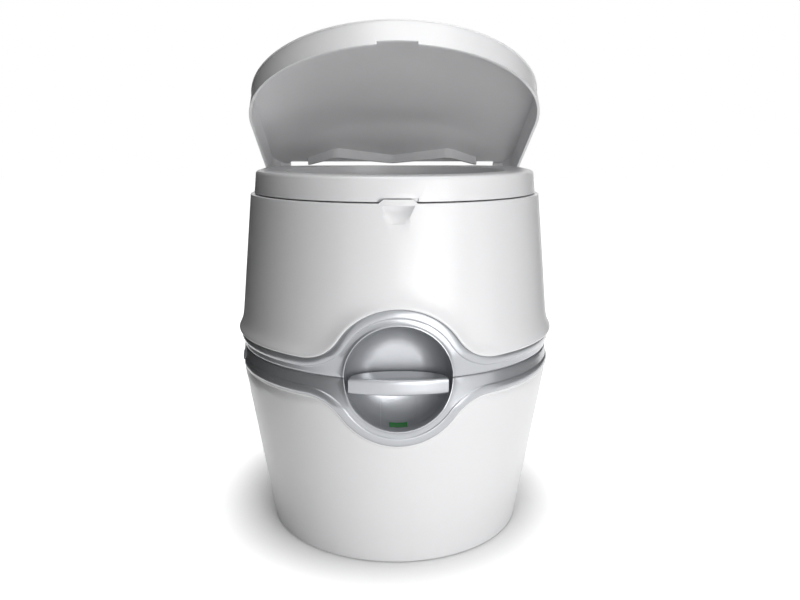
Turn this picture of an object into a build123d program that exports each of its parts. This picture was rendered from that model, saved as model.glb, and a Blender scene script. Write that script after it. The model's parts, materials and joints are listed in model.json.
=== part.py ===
from build123d import *
from collections import namedtuple
from math import cos, radians, sin
import os

# A free-standing two-part portable toilet. The waste tank section stands on the floor and the flush tank
# section stands on it. Millimetres, +Z up, -Y is the front, the origin is on the floor under the middle.

# The plan of the body: half an oval in front, straight sides and a rounded back
Section = namedtuple("Section", "z half_width front rear")
plan_y = -19.5
belt_half_width = 186.0
back_corner = 62.0
foot = Section(z=1.5, half_width=154.5, front=169.0, rear=214.0)
hip = Section(z=190.0, half_width=belt_half_width, front=203.5, rear=238.5)
seam = Section(z=222.0, half_width=belt_half_width - 2.5, front=201.0, rear=235.5)
crown = Section(z=246.0, half_width=belt_half_width + 1.0, front=204.5, rear=238.5)
shoulder = Section(z=401.0, half_width=173.0, front=189.0, rear=229.0)
wall = 3.0

# The wavy belt and the round recess at its front
belt_proud = 2.5
belt_bottom = 197.0
belt_top = 236.0
arch_radius = 74.5
arch_blend = 32.0
lip_height = 9.0
lip_proud = 5.0
border_width = 11.0
border_rise = 1.2
dish_border = 1.5
dish_radius = 56.5
dish_depth = 43.0
dish_blend = 30.0
liner = 2.5
parting_gap = 0.15
rib_reach = 300.0

# The finger scoop and the tab at the front of the flush tank shell
tab_width = 40.0
tab_height = 4.2
tab_top_width = 30.0
tab_depth = 8.0
tab_gap = 0.9
scoop_height = 18.0
scoop_drop = 2.0
scoop_reach = 20.0
scoop_radius = 26.8

# The slide valve
valve_y = -4.5
mouth_radius = 45.0
blade_half_width = 54.0
blade_half_length = 52.0
blade_z = 209.0
blade_thickness = 4.0
blade_gap = 0.4
valve_travel = 95.0
rod_half_width = 10.0
housing_wall = 5.0
seal_width = 5.0
seal_edge = 1.5
screw_y_reach = 48.0
screw_x_reach = 2.0
blade_corner = 20.0
housing_roof = 3.0
tank_top_z = 198.0
tank_top_thickness = 4.0
handle_half_width = 52.3
handle_drop = 0.6
handle_height = 17.0
handle_setback = 1.5
handle_back_gap = 4.0
handle_wall = 3.0
handle_end_setback = 8.0
handle_end_depth = 5.0
handle_edge = 2.0
handle_grip_width = 74.0
handle_grip_depth = 16.0
handle_grip_setback = 17.0

# The level indicator
panel_half_width = 18.5
panel_top = 199.0
window_half_width = 9.75
window_front_y = -207.5
window_back_y = -198.5
float_pivot_y = -164.5
float_pivot_z = 146.0
float_reach = 70.0
float_drop = 34.0
float_radius = 12.0
flag_reach = 34.0
float_pin_radius = 1.5
float_arm_half = 4.0
float_ear = (4.5, 8.5)

# The pouring spout in the back of the waste tank
spout_x = -105.0
spout_y = 180.5
spout_axis_z = 190.0
spout_length = 112.0
spout_radius = 18.0
spout_wall = 3.0
neck_radius = 22.0
neck_height = 17.0
running_gap = 0.06
bay_left = -140.0
bay_right = 52.0
bay_front = 149.5
bay_floor = 160.0
cap_length = 20.0
cap_wall = 3.0
cap_ribs = 16

# The vent button on the tank top
vent_x = 112.0
vent_y = 87.5
vent_radius = 9.0
vent_stem = 4.0
vent_stroke = 4.0
vent_head = 5.0
vent_edge = 1.5
vent_rise = 12.0
vent_coil = 6.5
vent_wire = 0.6
vent_turns = 4
vent_gap = 0.5

# The side latch
latch_y = -60.5
latch_half_length = 8.0
latch_travel = 10.0
latch_gap = 0.8
latch_thickness = 4.0
latch_skin_x = -165.0
latch_pad_x = -172.0
latch_bottom = 160.0
latch_slot_top = 184.0
keeper_thickness = 3.0
hook_height = 3.0

# The flush tank's floor and the bowl
floor_z = 233.0
floor_thickness = 3.0
outlet_radius = 43.0
outlet_bottom = 226.0
bowl_y = -30.5
bowl_half_width = 136.0
bowl_half_length = 134.0
bowl_waist_z = 310.0
bowl_waist = 104.0
bowl_foot_z = 250.0
bowl_flange = 7.0
bowl_wall = 3.0

# The hinge line that the seat and the lid share
hinge_y = 171.5
hinge_z = 417.0
pin_radius = 3.0
knuckle_radius = 7.0
inner_lug = (112.0, 122.0)
seat_knuckle = (122.5, 136.5)
outer_lug = (137.0, 145.0)
lid_knuckle = (145.5, 158.0)
bracket_plate = 3.0
bracket_reach = 17.0

# The seat
seat_bottom = 402.5
seat_top = 428.0
seat_half_width_bottom = 168.5
seat_half_width_top = 166.0
seat_front_bottom = 184.0
seat_front_top = 181.0
seat_back_y = 113.5
seat_opening_half_width = 131.5
seat_opening_half_length = 130.0
seat_wall = 3.0
seat_edge = 4.0
seat_arm_root = 7.0
buffer_radius = 8.0

# The lid, in its own frame with the origin on the hinge line
lid_angle = 24.0
lid_wall = 3.0
lid_back_radius = 15.0
lid_rim_drop = 15.0
lid_slot_gap = 0.4
wave_thickness = 3.0
wave_half_width = 118.0
wave_end_y = -26.0
wave_hump_x = 78.0
wave_hump_y = -51.0
wave_middle_y = -32.0
wave_bend = 18.0
bracket_gap = 0.4

# The filler and the pump on the rear deck
deck_knob_y = 145.5
filler_x = -80.0
pump_x = 80.0
filler_radius = 17.0
filler_height = 7.0
filler_cap_height = 15.0
pump_well_radius = 22.0
pump_well_depth = 24.0
pump_knob_radius = 20.0
pump_knob_height = 12.0
pump_knob_gap = 3.0
pump_bore = 12.0
pump_bottom = 300.0
piston_height = 6.0
piston_z = 352.0
pump_rod_radius = 5.0
pump_coil = 9.0
pump_wire = 0.9
pump_turns = 8
pump_knob_edge = 4.0
cap_edge = 2.0

foot_pad_radius = 12.0
feet = ((-95.0, -99.5), (95.0, -99.5), (-105.0, 145.5), (105.0, 145.5))
buffers = ((-148.0, -64.5), (148.0, -64.5), (-148.0, 55.5), (148.0, 55.5))
screw_head = 3.5
screw_head_height = 2.0


def plan(section, inset=0.0, z=None):
    """The body's plan at one height, drawn in by inset."""
    half = section.half_width - inset
    back = plan_y + section.rear - inset
    corner = back_corner - inset
    height = section.z if z is None else z
    with BuildSketch(Plane.XY.offset(height)) as outline:
        with BuildLine():
            nose = EllipticalCenterArc((0, plan_y), half, section.front - inset, 180, arc_size=180)
            right = Line(nose @ 1, (half, back - corner))
            back_right = RadiusArc(right @ 1, (half - corner, back), -corner)
            rear = Line(back_right @ 1, (corner - half, back))
            back_left = RadiusArc(rear @ 1, (-half, back - corner), -corner)
            Line(back_left @ 1, nose @ 0)
        make_face()
    return outline.sketch


def body_form(faces):
    """A solid through faces, with straight flanks between them."""
    with BuildPart() as form:
        loft(faces, ruled=True)
    return form.part


def block(x, y, z, mode=Mode.ADD):
    """A box between pairs of limits."""
    with Locations(((x[0] + x[1]) / 2, (y[0] + y[1]) / 2, (z[0] + z[1]) / 2)):
        Box(x[1] - x[0], y[1] - y[0], z[1] - z[0], mode=mode)


def post(x, y, z, radius, mode=Mode.ADD):
    """An upright cylinder between two heights."""
    with Locations((x, y, (z[0] + z[1]) / 2)):
        Cylinder(radius, z[1] - z[0], mode=mode)


def spindle(x, y, z, radius, mode=Mode.ADD):
    """A cylinder along X between two places."""
    with Locations(((x[0] + x[1]) / 2, y, z)):
        Cylinder(radius, x[1] - x[0], rotation=(0, 90, 0), mode=mode)


def dish_form(grow):
    """The turned space of the round recess, grown outwards to make its liner and its pocket."""
    mouth_y = plan_y - seam.front - belt_proud
    back_y = mouth_y + dish_depth + grow
    radius = dish_radius + grow
    with BuildPart() as dish:
        with BuildSketch(Plane.YZ):
            with BuildLine():
                corner = FilletPolyline(
                    (mouth_y - dish_depth, seam.z),
                    (mouth_y - dish_depth, seam.z + radius),
                    (back_y, seam.z + radius),
                    (back_y, seam.z),
                    radius=(0.01, dish_blend + grow),
                )
                Line(corner @ 1, corner @ 0)
            make_face()
        revolve(axis=Axis((0, 0, seam.z), (0, 1, 0)))
    return dish.part


def wave_form(bottom, top, radius):
    """A level band right round, with a round arch at the front that is blended into it."""
    with BuildPart() as band:
        block((-rib_reach, rib_reach), (-rib_reach, rib_reach), (bottom, top))
        with BuildSketch(Plane.XZ) as arch:
            with Locations((0, (bottom + top) / 2)):
                Rectangle(2 * rib_reach, top - bottom)
            with Locations((0, seam.z)):
                Circle(radius)
            if top > seam.z:
                meet = arch.vertices().filter_by(lambda v: abs(v.Y - top) < 0.01 and abs(v.X) < radius)
            else:
                meet = arch.vertices().filter_by(lambda v: abs(v.Y - bottom) < 0.01 and abs(v.X) < radius)
            fillet(meet, arch_blend)
        extrude(amount=rib_reach)
    return band.part


def coil_spring(x, y, bottom, top, radius, wire, turns):
    """A wound spring standing on its lower end."""
    with BuildPart() as coil:
        with BuildLine(Plane.XY.offset(bottom + wire)):
            path = Helix((top - bottom - 2 * wire) / turns, top - bottom - 2 * wire, radius, center=(x, y, 0))
        with BuildSketch(Plane(origin=path @ 0, z_dir=path % 0)):
            Circle(wire)
        sweep(is_frenet=True)
    return coil.part


# Solid forms that several pieces are cut from
tank_outer = body_form([plan(foot), plan(hip), plan(seam)])
tank_inner = body_form([plan(foot, wall, foot.z + wall), plan(hip, wall), plan(seam, wall, seam.z + wall)])
upper_outer = body_form([plan(seam), plan(crown), plan(shoulder)])
upper_inner = body_form(
    [plan(seam, wall, seam.z - wall), plan(crown, wall), plan(shoulder, wall, shoulder.z - wall)]
)
lower_belt_outer = body_form([plan(foot, -belt_proud), plan(hip, -belt_proud), plan(seam, -belt_proud)])
upper_belt_outer = body_form([plan(seam, -belt_proud), plan(crown, -belt_proud), plan(shoulder, -belt_proud)])
lip_outer = body_form([plan(seam, -lip_proud), plan(crown, -lip_proud), plan(shoulder, -lip_proud)])
dish = dish_form(0.0)
dish_liner = dish_form(liner)
dish_pocket = dish_form(liner + wall)
dish_keep = dish_form(liner + dish_border)
lower_field_wave = wave_form(belt_bottom + border_width, seam.z, arch_radius - border_width)
upper_field_wave = wave_form(seam.z, belt_top - border_width, arch_radius - border_width)
lower_field_skin = body_form([plan(s, border_rise - belt_proud) for s in (foot, hip, seam)])
upper_field_skin = body_form([plan(s, border_rise - belt_proud) for s in (seam, crown, shoulder)])
lower_field = lower_field_wave - lower_field_skin - dish_keep
upper_field = upper_field_wave - upper_field_skin - dish_keep
lower_wave = wave_form(belt_bottom, seam.z, arch_radius)
upper_wave = wave_form(seam.z, belt_top, arch_radius)
lip_wave = wave_form(seam.z, belt_top + lip_height, arch_radius + lip_height)

bay_x = (bay_left, bay_right)
bay_y = (bay_front, rib_reach)
blade_top = blade_z + blade_thickness
tank_top_upper = tank_top_z + tank_top_thickness
belt_front_y = plan_y - seam.front - belt_proud
dish_back_y = belt_front_y + dish_depth
tank_skin = tank_outer - dish_liner
upper_skin = upper_outer - dish_liner
latch_x = (latch_skin_x, latch_skin_x + latch_thickness)
channel_x = (latch_skin_x - latch_gap, latch_skin_x + latch_thickness + latch_gap)
pad_x = (latch_pad_x, latch_skin_x)
channel_y = (latch_y - latch_half_length - latch_travel - latch_gap, latch_y + latch_half_length + latch_gap)

pieces = {}

# The walls round the recess, the spout's bay and the latch's channel
with BuildPart() as tank_pockets:
    add(dish_pocket)
    block((bay_left - wall, bay_right + wall), (bay_front - wall, rib_reach), (bay_floor - wall, seam.z))
    block((-rib_reach, channel_x[1] + wall), (channel_y[0] - wall, channel_y[1] + wall), (latch_bottom - wall, seam.z))
    add(tank_outer, mode=Mode.INTERSECT)

# The waste tank, a moulded tub with pockets for the recess, the spout and the latch
with BuildPart() as waste_tank_tub:
    add(tank_outer)
    add(tank_inner, mode=Mode.SUBTRACT)
    add(tank_pockets.part)
    add(dish_liner, mode=Mode.SUBTRACT)
    block(bay_x, bay_y, (bay_floor, seam.z), mode=Mode.SUBTRACT)
    post(spout_x, spout_y, (bay_floor, bay_floor + neck_height), neck_radius)
    post(spout_x, spout_y, (bay_floor - wall, bay_floor + neck_height), neck_radius - wall, mode=Mode.SUBTRACT)
    block(channel_x, channel_y, (latch_bottom, seam.z), mode=Mode.SUBTRACT)
    block(
        (-rib_reach, channel_x[0]),
        channel_y,
        (latch_bottom + wall, latch_slot_top),
        mode=Mode.SUBTRACT,
    )
    block(
        (-rod_half_width - latch_gap, rod_half_width + latch_gap),
        (dish_back_y - wall, dish_back_y + liner + 2 * wall),
        (blade_z - blade_gap, blade_top + blade_gap),
        mode=Mode.SUBTRACT,
    )
    block(
        (-window_half_width + 1, window_half_width - 1),
        (window_front_y + 1, window_back_y - 1),
        (seam.z - dish_radius - liner - 2 * wall, seam.z - dish_radius),
        mode=Mode.SUBTRACT,
    )
pieces["waste_tank_tub"] = waste_tank_tub

# The tank's top, a plate inside the rim with the valve's mouth and the vent's hole
with BuildPart() as waste_tank_top:
    block((-rib_reach, rib_reach), (-rib_reach, rib_reach), (tank_top_z, tank_top_upper))
    add(tank_inner, mode=Mode.INTERSECT)
    add(tank_pockets.part, mode=Mode.SUBTRACT)
    post(0, valve_y, (tank_top_z, tank_top_upper), mouth_radius, mode=Mode.SUBTRACT)
    post(vent_x, vent_y, (tank_top_z, tank_top_upper), vent_stem + running_gap, mode=Mode.SUBTRACT)
pieces["waste_tank_top"] = waste_tank_top

# The lower half of the belt, with the lower half of the recess moulded into it
with BuildPart() as lower_belt_trim:
    add(lower_wave)
    add(dish_liner)
    block((-rib_reach, rib_reach), (-rib_reach, rib_reach), (seam.z, rib_reach + seam.z), mode=Mode.SUBTRACT)
    add(lower_belt_outer, mode=Mode.INTERSECT)
    add(tank_skin, mode=Mode.SUBTRACT)
    add(lower_field, mode=Mode.SUBTRACT)
    add(dish, mode=Mode.SUBTRACT)
    block(bay_x, (0, rib_reach), (bay_floor, seam.z), mode=Mode.SUBTRACT)
    block(
        (-rod_half_width - latch_gap, rod_half_width + latch_gap),
        (dish_back_y - wall, dish_back_y + liner + wall),
        (blade_z - blade_gap, blade_top + blade_gap),
        mode=Mode.SUBTRACT,
    )
    block(
        (-panel_half_width - parting_gap, panel_half_width + parting_gap),
        (window_front_y - wall, dish_back_y + liner),
        (seam.z - dish_radius - 2 * liner, panel_top + parting_gap),
        mode=Mode.SUBTRACT,
    )
pieces["lower_belt_trim"] = lower_belt_trim

# The panel let into the bottom of the recess, and the window in it
with BuildPart() as indicator_panel:
    add(dish_liner)
    add(dish, mode=Mode.SUBTRACT)
    block(
        (-panel_half_width, panel_half_width),
        (window_front_y - wall + parting_gap, dish_back_y + liner),
        (seam.z - dish_radius - 2 * liner, panel_top),
        mode=Mode.INTERSECT,
    )
    block(
        (-rod_half_width - latch_gap, rod_half_width + latch_gap),
        (dish_back_y - wall, dish_back_y + liner + wall),
        (blade_z - blade_gap, blade_top + blade_gap),
        mode=Mode.SUBTRACT,
    )
    block(
        (-window_half_width, window_half_width),
        (window_front_y, window_back_y),
        (seam.z - dish_radius - 2 * liner, seam.z - dish_radius + 2 * liner),
        mode=Mode.SUBTRACT,
    )
pieces["indicator_panel"] = indicator_panel

with BuildPart() as indicator_window:
    add(dish_liner)
    add(dish, mode=Mode.SUBTRACT)
    block(
        (-window_half_width, window_half_width),
        (window_front_y, window_back_y),
        (seam.z - dish_radius - 2 * liner, seam.z - dish_radius + 2 * liner),
        mode=Mode.INTERSECT,
    )
pieces["indicator_window"] = indicator_window

# The slide valve: housing, seal, screws, blade, rod and handle
housing_x = (-blade_half_width - blade_gap - housing_wall, blade_half_width + blade_gap + housing_wall)
housing_y = (valve_y - blade_half_length - valve_travel - blade_gap, valve_y + blade_half_length + housing_wall)
housing_top = blade_top + blade_gap + housing_roof
with BuildPart() as valve_housing:
    block(housing_x, housing_y, (tank_top_upper, housing_top))
    fillet(valve_housing.edges().filter_by(Axis.Z), housing_wall)
    block(
        (-blade_half_width - blade_gap, blade_half_width + blade_gap),
        (housing_y[0], valve_y + blade_half_length + blade_gap),
        (blade_z - blade_gap, blade_top + blade_gap),
        mode=Mode.SUBTRACT,
    )
    post(0, valve_y, (tank_top_upper, housing_top), mouth_radius, mode=Mode.SUBTRACT)
pieces["valve_housing"] = valve_housing

with BuildPart() as valve_lip_seal:
    post(0, valve_y, (housing_top, seam.z), mouth_radius + seal_width)
    post(0, valve_y, (housing_top, seam.z), mouth_radius, mode=Mode.SUBTRACT)
    fillet(valve_lip_seal.edges().group_by(Axis.Z)[-1], seal_edge)
pieces["valve_lip_seal"] = valve_lip_seal

screw_y = [valve_y + side * screw_y_reach for side in (-1, 1)] + [housing_y[0] + 2 * housing_wall]
with BuildPart() as valve_screws:
    for y in screw_y:
        for side in (-1, 1):
            with Locations((side * (blade_half_width + screw_x_reach), y, housing_top + screw_head_height / 2)):
                Cylinder(screw_head, screw_head_height)
pieces["valve_screws"] = valve_screws

handle_front_y = belt_front_y + handle_setback
handle_end_y = handle_front_y + handle_end_setback
handle_bottom = seam.z - handle_drop - handle_height
handle_back_y = dish_back_y - handle_back_gap
with BuildPart() as valve_handle:
    with BuildSketch(Plane.XY.offset(handle_bottom)):
        with BuildLine():
            front = ThreePointArc(
                (-handle_half_width, handle_end_y), (0, handle_front_y), (handle_half_width, handle_end_y)
            )
            right = Line(front @ 1, (handle_half_width, handle_end_y + handle_end_depth))
            back = ThreePointArc(right @ 1, (0, handle_back_y), (-handle_half_width, handle_end_y + handle_end_depth))
            Line(back @ 1, front @ 0)
        make_face()
    extrude(amount=handle_height)
    fillet(valve_handle.edges().group_by(Axis.Z)[-1], handle_edge)
    with BuildSketch(Plane.XY.offset(handle_bottom)):
        with Locations((0, handle_front_y + handle_grip_setback)):
            SlotOverall(handle_grip_width, handle_grip_depth)
    extrude(amount=handle_height - 2 * handle_wall, mode=Mode.SUBTRACT)
pieces["valve_handle"] = valve_handle

with BuildPart() as valve_rod:
    block((-rod_half_width, rod_half_width), (handle_back_y, valve_y - blade_half_length), (blade_z, blade_top))
pieces["valve_rod"] = valve_rod

with BuildPart() as valve_blade:
    block(
        (-blade_half_width, blade_half_width),
        (valve_y - blade_half_length, valve_y + blade_half_length),
        (blade_z, blade_top),
    )
    fillet(valve_blade.edges().filter_by(Axis.Z).group_by(Axis.Y)[-1], blade_corner)
pieces["valve_blade"] = valve_blade

# The level float: an arm on a pivot, with a flag under the window and a float at its other end
with BuildPart() as float_arm:
    with BuildSketch(Plane.YZ):
        with BuildLine():
            Polyline(
                (float_pivot_y - flag_reach - 6, float_pivot_z + 9),
                (float_pivot_y - flag_reach + 4, float_pivot_z + 9),
                (float_pivot_y, float_pivot_z + 4),
                (float_pivot_y + float_reach, float_pivot_z - float_drop + 3),
                (float_pivot_y + float_reach, float_pivot_z - float_drop - 3),
                (float_pivot_y, float_pivot_z - 4),
                (float_pivot_y - flag_reach - 6, float_pivot_z + 5),
                close=True,
            )
        make_face()
    extrude(amount=float_arm_half, both=True)
    spindle((-float_arm_half, float_arm_half), float_pivot_y, float_pivot_z, float_pin_radius + running_gap,
            mode=Mode.SUBTRACT)
pieces["float_arm"] = float_arm

with BuildPart() as level_float:
    spindle((-25, 25), float_pivot_y + float_reach + float_radius, float_pivot_z - float_drop, float_radius)
    fillet(level_float.edges().filter_by(GeomType.CIRCLE), 4.0)
pieces["level_float"] = level_float

with BuildPart() as float_bracket:
    block(float_ear, (float_pivot_y - 6, float_pivot_y + 6), (float_pivot_z - 6, tank_top_z))
    spindle(float_ear, float_pivot_y, float_pivot_z, float_pin_radius, mode=Mode.SUBTRACT)
    mirror(about=Plane.YZ)
pieces["float_bracket"] = float_bracket

with BuildPart() as float_pin:
    spindle((-float_ear[1], float_ear[1]), float_pivot_y, float_pivot_z, float_pin_radius)
pieces["float_pin"] = float_pin

# The pouring spout swings on its neck
spout_collar = neck_radius + running_gap + spout_wall
with BuildPart() as pour_spout:
    post(spout_x, spout_y, (bay_floor + 0.5, spout_axis_z + spout_radius + spout_wall), spout_collar)
    fillet(pour_spout.edges().group_by(Axis.Z)[-1], 6.0)
    spindle((spout_x, spout_x + spout_length), spout_y, spout_axis_z, spout_radius)
    post(spout_x, spout_y, (bay_floor, bay_floor + neck_height + 1), neck_radius + running_gap, mode=Mode.SUBTRACT)
    post(spout_x, spout_y, (bay_floor, spout_axis_z + 8), spout_radius - spout_wall, mode=Mode.SUBTRACT)
    spindle(
        (spout_x, spout_x + spout_length), spout_y, spout_axis_z, spout_radius - spout_wall, mode=Mode.SUBTRACT
    )
pieces["pour_spout"] = pour_spout

cap_x = spout_x + spout_length - cap_length + cap_wall
with BuildPart() as spout_cap:
    spindle((cap_x, cap_x + cap_length), spout_y, spout_axis_z, spout_radius + running_gap + cap_wall)
    with BuildSketch(Plane.YZ.offset(cap_x)):
        with Locations((spout_y, spout_axis_z)):
            with PolarLocations(spout_radius + running_gap + cap_wall, cap_ribs):
                Circle(1.2)
    extrude(amount=cap_length)
    spindle(
        (cap_x, cap_x + cap_length - cap_wall), spout_y, spout_axis_z, spout_radius + running_gap, mode=Mode.SUBTRACT
    )
pieces["spout_cap"] = spout_cap

# The vent button, pushed up by its spring
vent_top = tank_top_upper + vent_stroke + vent_rise
with BuildPart() as vent_button:
    post(vent_x, vent_y, (vent_top - vent_head, vent_top), vent_radius)
    fillet(vent_button.edges().group_by(Axis.Z)[-1], vent_edge)
    post(vent_x, vent_y, (tank_top_z - vent_stem, vent_top - vent_head), vent_stem)
    post(vent_x, vent_y, (tank_top_z - vent_stem, tank_top_z - vent_gap), vent_radius)
pieces["vent_button"] = vent_button

# The side latch: a sliding plate with a hook that goes over the keeper
keeper_top = seam.z + keeper_thickness + latch_gap
with BuildPart() as side_latch:
    block(latch_x, (latch_y - latch_half_length, latch_y + latch_half_length), (latch_bottom + wall, seam.z - 1))
    block(pad_x, (latch_y - latch_half_length, latch_y + latch_half_length),
          (latch_bottom + 2 * wall, latch_slot_top - wall))
    block(
        latch_x,
        (latch_y - latch_half_length + latch_travel, latch_y + latch_half_length),
        (seam.z - 1, keeper_top + latch_gap),
    )
    block(
        latch_x,
        (latch_y - latch_half_length, latch_y + latch_half_length),
        (keeper_top + latch_gap, keeper_top + latch_gap + hook_height),
    )
pieces["side_latch"] = side_latch

with BuildPart() as rubber_feet:
    for x, y in feet:
        post(x, y, (0, foot.z), foot_pad_radius)
pieces["rubber_feet"] = rubber_feet

# The flush tank shell: one white moulding with a flared wavy lip, a finger scoop and a tab
shoulder_front_y = plan_y - shoulder.front


def scoop_form(grow):
    """A cone that meets the shell's front in a rounded point, grown outwards to make its wall."""
    with BuildPart() as form:
        with Locations((0, shoulder_front_y - scoop_reach, shoulder.z - scoop_drop - scoop_height)):
            Cone(
                scoop_reach + grow,
                scoop_radius + grow,
                scoop_height,
                align=(Align.CENTER, Align.CENTER, Align.MIN),
            )
    return form.part


scoop = scoop_form(0.0)
scoop_wall = scoop_form(wall) & upper_outer
upper_pocket = dish_pocket & upper_outer
with BuildPart() as flush_tank_shell:
    add(lip_wave)
    add(upper_wave, mode=Mode.SUBTRACT)
    add(lip_outer, mode=Mode.INTERSECT)
    add(upper_outer)
    add(upper_inner, mode=Mode.SUBTRACT)
    add(upper_pocket)
    add(scoop_wall)
    add(dish_liner, mode=Mode.SUBTRACT)
    add(scoop, mode=Mode.SUBTRACT)
    with BuildSketch(Plane.XY.offset(shoulder.z - wall)):
        with Locations((0, bowl_y)):
            Ellipse(bowl_half_width, bowl_half_length)
    extrude(amount=2 * wall, mode=Mode.SUBTRACT)
    with BuildSketch(Plane.XZ.offset(-shoulder_front_y - tab_depth)):
        with BuildLine():
            Polyline(
                (-tab_width / 2, shoulder.z),
                (-tab_top_width / 2, shoulder.z + tab_height),
                (tab_top_width / 2, shoulder.z + tab_height),
                (tab_width / 2, shoulder.z),
                close=True,
            )
        make_face()
    extrude(amount=tab_depth)
    post(filler_x, deck_knob_y, (shoulder.z - wall, shoulder.z), filler_radius - wall, mode=Mode.SUBTRACT)
    post(pump_x, deck_knob_y, (shoulder.z - wall, shoulder.z), pump_well_radius + wall, mode=Mode.SUBTRACT)
pieces["flush_tank_shell"] = flush_tank_shell

with BuildPart() as upper_belt_trim:
    add(upper_wave)
    add(dish_liner)
    block((-rib_reach, rib_reach), (-rib_reach, rib_reach), (-rib_reach, seam.z), mode=Mode.SUBTRACT)
    add(upper_belt_outer, mode=Mode.INTERSECT)
    add(upper_skin, mode=Mode.SUBTRACT)
    add(upper_field, mode=Mode.SUBTRACT)
    add(dish, mode=Mode.SUBTRACT)
pieces["upper_belt_trim"] = upper_belt_trim

# The flush tank's floor carries the keeper of the latch and lets the bowl's outlet through
with BuildPart() as flush_tank_floor:
    block((-rib_reach, rib_reach), (-rib_reach, rib_reach), (floor_z, floor_z + floor_thickness))
    add(upper_inner, mode=Mode.INTERSECT)
    add(dish_pocket, mode=Mode.SUBTRACT)
    post(0, valve_y, (floor_z, floor_z + floor_thickness), outlet_radius + bowl_wall, mode=Mode.SUBTRACT)
pieces["flush_tank_floor"] = flush_tank_floor

with BuildPart() as latch_keeper:
    block((channel_x[0], channel_x[1] + 6), channel_y, (seam.z, seam.z + keeper_thickness))
    block(
        (channel_x[0], channel_x[1]),
        (latch_y - latch_half_length - latch_gap, channel_y[1]),
        (seam.z, seam.z + keeper_thickness),
        mode=Mode.SUBTRACT,
    )
    block((channel_x[1] + 3, channel_x[1] + 6), channel_y, (seam.z + keeper_thickness, floor_z))
    add(upper_inner, mode=Mode.INTERSECT)
pieces["latch_keeper"] = latch_keeper



def bowl_form(grow):
    """The bowl's inner form, or its outer form when it is grown by the wall."""
    with BuildPart() as form:
        with BuildSketch(Plane.XY.offset(shoulder.z - wall)):
            with Locations((0, bowl_y)):
                Ellipse(bowl_half_width - bowl_wall + grow, bowl_half_length - bowl_wall + grow)
        with BuildSketch(Plane.XY.offset(bowl_waist_z)):
            with Locations((0, (bowl_y + valve_y) / 2)):
                Circle(bowl_waist + grow)
        with BuildSketch(Plane.XY.offset(bowl_foot_z)):
            with Locations((0, valve_y)):
                Circle(outlet_radius + grow)
        loft()
        post(0, valve_y, (outlet_bottom, bowl_foot_z), outlet_radius + grow)
    return form.part


# The bowl hangs under the deck and ends in the outlet over the valve
bowl_inside = bowl_form(0.0)
with BuildPart() as bowl:
    add(bowl_form(bowl_wall))
    with BuildSketch(Plane.XY.offset(shoulder.z - wall - bowl_wall)):
        with Locations((0, bowl_y)):
            Ellipse(bowl_half_width + bowl_flange, bowl_half_length + bowl_flange)
    extrude(amount=bowl_wall)
    add(bowl_inside, mode=Mode.SUBTRACT)
pieces["bowl"] = bowl

with BuildPart() as outlet_seal:
    post(0, valve_y, (seam.z, outlet_bottom), outlet_radius + bowl_wall)
    post(0, valve_y, (seam.z, outlet_bottom), outlet_radius, mode=Mode.SUBTRACT)
pieces["outlet_seal"] = outlet_seal

# Hinge brackets, pins and screws on the rear deck, the same on both sides
with BuildPart() as hinge_brackets:
    block((inner_lug[0], outer_lug[1]), (hinge_y - bracket_reach, hinge_y + bracket_reach),
          (shoulder.z, shoulder.z + bracket_plate))
    for lug in (inner_lug, outer_lug):
        block(lug, (hinge_y - knuckle_radius, hinge_y + knuckle_radius), (shoulder.z, hinge_z))
        spindle(lug, hinge_y, hinge_z, knuckle_radius)
        spindle(lug, hinge_y, hinge_z, pin_radius, mode=Mode.SUBTRACT)
    mirror(about=Plane.YZ)
pieces["hinge_brackets"] = hinge_brackets

with BuildPart() as hinge_pins:
    spindle((inner_lug[0], lid_knuckle[1]), hinge_y, hinge_z, pin_radius)
    mirror(about=Plane.YZ)
pieces["hinge_pins"] = hinge_pins

# The seat ring, hollow underneath, with two arms to the hinge
seat_low = Section(seat_bottom, seat_half_width_bottom, seat_front_bottom, seat_back_y - plan_y)
seat_high = Section(seat_top, seat_half_width_top, seat_front_top, seat_back_y - plan_y - 2.0)
seat_outer = body_form([plan(seat_low), plan(seat_high)])
seat_hollow = body_form([plan(seat_low, seat_wall), plan(seat_high, seat_wall, seat_top - seat_wall)])
with BuildPart() as seat_channel:
    add(seat_hollow)
    with BuildSketch(Plane.XY.offset(seat_bottom)):
        with Locations((0, bowl_y)):
            Ellipse(seat_opening_half_width + seat_wall, seat_opening_half_length + seat_wall)
    extrude(amount=seat_top - seat_bottom, mode=Mode.SUBTRACT)
with BuildPart() as seat_ring:
    add(seat_outer)
    fillet(seat_ring.edges().group_by(Axis.Z)[-1], seat_edge)
    add(seat_channel.part, mode=Mode.SUBTRACT)
    with BuildSketch(Plane.XY.offset(seat_bottom)):
        with Locations((0, bowl_y)):
            Ellipse(seat_opening_half_width, seat_opening_half_length)
    extrude(amount=seat_top - seat_bottom, mode=Mode.SUBTRACT)
    for side in (-1, 1):
        arm = sorted((side * seat_knuckle[0], side * seat_knuckle[1]))
        block(arm, (seat_back_y - seat_arm_root, hinge_y), (hinge_z - knuckle_radius, hinge_z + knuckle_radius))
        spindle(arm, hinge_y, hinge_z, knuckle_radius)
        spindle(arm, hinge_y, hinge_z, pin_radius + running_gap, mode=Mode.SUBTRACT)
    block(
        (-tab_width / 2 - tab_gap, tab_width / 2 + tab_gap),
        (plan_y - seat_front_bottom - tab_gap, shoulder_front_y + tab_depth + tab_gap),
        (seat_bottom, shoulder.z + tab_height + tab_gap),
        mode=Mode.SUBTRACT,
    )
pieces["seat_ring"] = seat_ring

with BuildPart() as seat_buffers:
    for x, y in buffers:
        post(x, y, (shoulder.z, seat_top - seat_wall), buffer_radius)
pieces["seat_buffers"] = seat_buffers

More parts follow.
